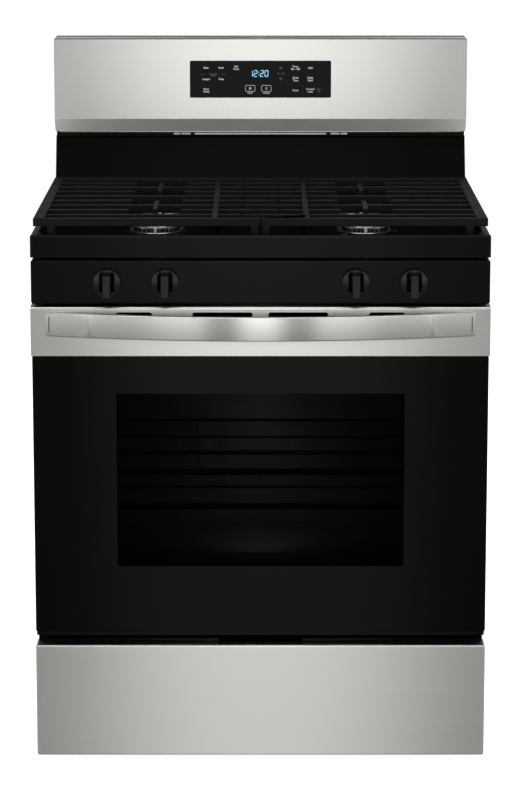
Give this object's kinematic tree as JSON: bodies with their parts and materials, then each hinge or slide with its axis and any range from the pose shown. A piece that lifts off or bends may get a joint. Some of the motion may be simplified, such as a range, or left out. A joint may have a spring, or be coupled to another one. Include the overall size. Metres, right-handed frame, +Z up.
{
  "type": "freestanding gas range",
  "caption": "Freestanding gas range: drop-down oven door with a window, slide-out storage drawer, burners under cast-iron grates, front knobs and an upright rear control console.",
  "frame": {"origin": "on the floor, in the middle of the footprint from the handle's front to the back", "axes": "+X to the right of a person facing the range, -Y the front, +Z up"},
  "size_m": [0.759, 0.71, 1.185],
  "materials": {
    "stainless": "brushed",
    "black_enamel": "gloss porcelain enamel",
    "grey_enamel": "speckled porcelain enamel",
    "side_paint": "satin powder coat",
    "galvanised_steel": "zinc-coated sheet",
    "spring_steel": "plated",
    "black_glass": "printed black behind, clear window",
    "clear_glass": "clear heat-proof glass",
    "control_glass": "printed black behind",
    "cast_iron": "matt enamel on cast iron",
    "burner_aluminium": "die-cast, machined rim",
    "tube_aluminium": "drawn tube",
    "valve_brass": "machined",
    "pipe_steel": "black pipe",
    "cap_enamel": "matt black enamel",
    "knob_plastic": "moulded phenolic",
    "foot_plastic": "moulded foot on a steel stud",
    "gland_nylon": "moulded nylon",
    "glass_wool": "glass-wool blanket",
    "gasket_fibre": "braided glass rope",
    "rack_chrome": "nickel-chrome plated wire",
    "ceramic": "sintered ceramic",
    "circuit_board": "soldermask"
  },
  "bodies": {
    "range_body": {"side_panel_left": "side_paint", "side_panel_right": "side_paint", "back_panel": "galvanised_steel", "body_screws": "spring_steel", "base_frame": "galvanised_steel", "leveling_legs": "foot_plastic", "cord_gland": "gland_nylon", "oven_liner": "grey_enamel", "oven_floor_panel": "grey_enamel", "oven_front_frame": "black_enamel", "oven_insulation": "glass_wool", "rack_guides": "grey_enamel", "bake_burner": "galvanised_steel", "broil_burner": "galvanised_steel", "oven_lamp": "clear_glass", "oven_vent_duct": "galvanised_steel", "hinge_arms": "spring_steel", "hinge_receivers": "galvanised_steel", "drawer_rails": "galvanised_steel", "cooktop": "black_enamel", "burner_bases": "burner_aluminium", "spark_electrodes": "ceramic", "control_panel": "black_enamel", "gas_valves": "valve_brass", "manifold_pipe": "pipe_steel", "burner_gas_tubes": "tube_aluminium", "gas_supply_pipe": "pipe_steel", "pressure_regulator": "burner_aluminium", "backguard_riser": "black_enamel", "oven_vent_strip": "black_enamel", "console_shell": "stainless", "console_rear_cover": "galvanised_steel", "control_glass": "control_glass", "control_board": "circuit_board"},
    "oven_door": {"door_outer_glass": "black_glass", "door_window_panes": "clear_glass", "door_top_trim": "stainless", "door_handle": "stainless", "door_frame": "black_enamel", "door_inner_panel": "grey_enamel", "door_gasket": "gasket_fibre", "hinge_cases": "galvanised_steel"},
    "storage_drawer": {"drawer_front": "stainless", "drawer_box": "side_paint"},
    "grate_left": {"grate_left": "cast_iron"},
    "grate_right": {"grate_right": "cast_iron"},
    "rack_upper": {"oven_rack_upper": "rack_chrome"},
    "rack_lower": {"oven_rack_lower": "rack_chrome"},
    "cap_front_left": {"burner_cap_front_left": "cap_enamel"},
    "cap_rear_left": {"burner_cap_rear_left": "cap_enamel"},
    "cap_front_right": {"burner_cap_front_right": "cap_enamel"},
    "cap_rear_right": {"burner_cap_rear_right": "cap_enamel"},
    "stem_left_outer": {"valve_stem_left_outer": "spring_steel"},
    "knob_left_outer": {"knob_left_outer": "knob_plastic"},
    "stem_left_inner": {"valve_stem_left_inner": "spring_steel"},
    "knob_left_inner": {"knob_left_inner": "knob_plastic"},
    "stem_right_inner": {"valve_stem_right_inner": "spring_steel"},
    "knob_right_inner": {"knob_right_inner": "knob_plastic"},
    "stem_right_outer": {"valve_stem_right_outer": "spring_steel"},
    "knob_right_outer": {"knob_right_outer": "knob_plastic"}
  },
  "joints": [
    {"name": "oven_door_hinge", "type": "hinge", "parent": "range_body", "child": "oven_door", "pos_m": [0, -0.275, 0.249], "axis": [1, 0, 0], "range_deg": [0, 90], "stiffness_Nm_per_rad": 15, "springref_deg": -20.05},
    {"name": "drawer_slide", "type": "slide", "parent": "range_body", "child": "storage_drawer", "axis": [0, -1, 0], "range_m": [0, 0.4]},
    {"name": "grate_left_lift", "type": "slide", "parent": "range_body", "child": "grate_left", "axis": [0, 0, 1], "range_m": [0, 0.12]},
    {"name": "grate_right_lift", "type": "slide", "parent": "range_body", "child": "grate_right", "axis": [0, 0, 1], "range_m": [0, 0.12]},
    {"name": "rack_upper_slide", "type": "slide", "parent": "range_body", "child": "rack_upper", "axis": [0, -1, 0], "range_m": [0, 0.015]},
    {"name": "rack_lower_slide", "type": "slide", "parent": "range_body", "child": "rack_lower", "axis": [0, -1, 0], "range_m": [0, 0.015]},
    {"name": "cap_front_left_lift", "type": "slide", "parent": "range_body", "child": "cap_front_left", "axis": [0, 0, 1], "range_m": [0, 0.005]},
    {"name": "cap_rear_left_lift", "type": "slide", "parent": "range_body", "child": "cap_rear_left", "axis": [0, 0, 1], "range_m": [0, 0.005]},
    {"name": "cap_front_right_lift", "type": "slide", "parent": "range_body", "child": "cap_front_right", "axis": [0, 0, 1], "range_m": [0, 0.005]},
    {"name": "cap_rear_right_lift", "type": "slide", "parent": "range_body", "child": "cap_rear_right", "axis": [0, 0, 1], "range_m": [0, 0.005]},
    {"name": "knob_left_outer_turn", "type": "hinge", "parent": "range_body", "child": "stem_left_outer", "pos_m": [-0.2525, -0.3, 0.836], "axis": [0, -1, 0], "range_deg": [0, 240]},
    {"name": "knob_left_outer_push", "type": "slide", "parent": "stem_left_outer", "child": "knob_left_outer", "axis": [0, 1, 0], "range_m": [0, 0.003], "stiffness_N_per_m": 1500, "springref_m": -0.0015},
    {"name": "knob_left_inner_turn", "type": "hinge", "parent": "range_body", "child": "stem_left_inner", "pos_m": [-0.157, -0.3, 0.836], "axis": [0, -1, 0], "range_deg": [0, 240]},
    {"name": "knob_left_inner_push", "type": "slide", "parent": "stem_left_inner", "child": "knob_left_inner", "axis": [0, 1, 0], "range_m": [0, 0.003], "stiffness_N_per_m": 1500, "springref_m": -0.0015},
    {"name": "knob_right_inner_turn", "type": "hinge", "parent": "range_body", "child": "stem_right_inner", "pos_m": [0.157, -0.3, 0.836], "axis": [0, -1, 0], "range_deg": [0, 240]},
    {"name": "knob_right_inner_push", "type": "slide", "parent": "stem_right_inner", "child": "knob_right_inner", "axis": [0, 1, 0], "range_m": [0, 0.003], "stiffness_N_per_m": 1500, "springref_m": -0.0015},
    {"name": "knob_right_outer_turn", "type": "hinge", "parent": "range_body", "child": "stem_right_outer", "pos_m": [0.2525, -0.3, 0.836], "axis": [0, -1, 0], "range_deg": [0, 240]},
    {"name": "knob_right_outer_push", "type": "slide", "parent": "stem_right_outer", "child": "knob_right_outer", "axis": [0, 1, 0], "range_m": [0, 0.003], "stiffness_N_per_m": 1500, "springref_m": -0.0015}
  ]
}
